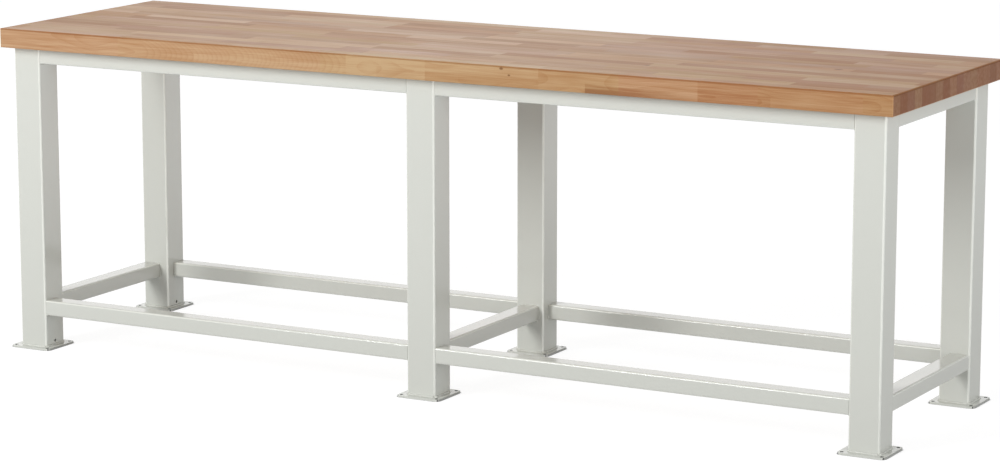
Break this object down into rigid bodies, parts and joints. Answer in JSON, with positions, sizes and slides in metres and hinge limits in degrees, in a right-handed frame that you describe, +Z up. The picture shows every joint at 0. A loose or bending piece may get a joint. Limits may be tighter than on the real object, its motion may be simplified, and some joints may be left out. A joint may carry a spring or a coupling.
{
  "type": "heavy-duty workbench",
  "caption": "Long heavy-duty workbench: thick glued beech worktop on a welded square-tube steel frame with low stretchers and foot plates for floor anchors.",
  "frame": {"origin": "on the floor under the middle of the worktop, the centre of the bounding box's base", "axes": "+X along the bench to its right-hand end as seen from the front, +Y from the front to the back, +Z up"},
  "size_m": [2.5, 0.7, 0.85],
  "materials": {
    "beech": "satin oiled, glued staves",
    "powder_coat": "smooth light grey powder coat, semi-gloss",
    "zinc": "bright zinc plate"
  },
  "bodies": {
    "root": {"worktop": "beech", "leg_front_left": "powder_coat", "leg_front_middle": "powder_coat", "leg_front_right": "powder_coat", "leg_back_left": "powder_coat", "leg_back_middle": "powder_coat", "leg_back_right": "powder_coat", "foot_plate_front_left": "powder_coat", "foot_plate_front_middle": "powder_coat", "foot_plate_front_right": "powder_coat", "foot_plate_back_left": "powder_coat", "foot_plate_back_middle": "powder_coat", "foot_plate_back_right": "powder_coat", "top_rail_front_left": "powder_coat", "top_rail_front_right": "powder_coat", "top_rail_back_left": "powder_coat", "top_rail_back_right": "powder_coat", "top_rail_end_left": "powder_coat", "top_rail_middle": "powder_coat", "top_rail_end_right": "powder_coat", "stretcher_front_left": "powder_coat", "stretcher_front_right": "powder_coat", "stretcher_back_left": "powder_coat", "stretcher_back_right": "powder_coat", "stretcher_end_left": "powder_coat", "stretcher_middle": "powder_coat", "stretcher_end_right": "powder_coat", "worktop_screws": "zinc", "worktop_washers": "zinc", "foot_welds": "powder_coat", "frame_welds": "powder_coat"}
  },
  "joints": []
}
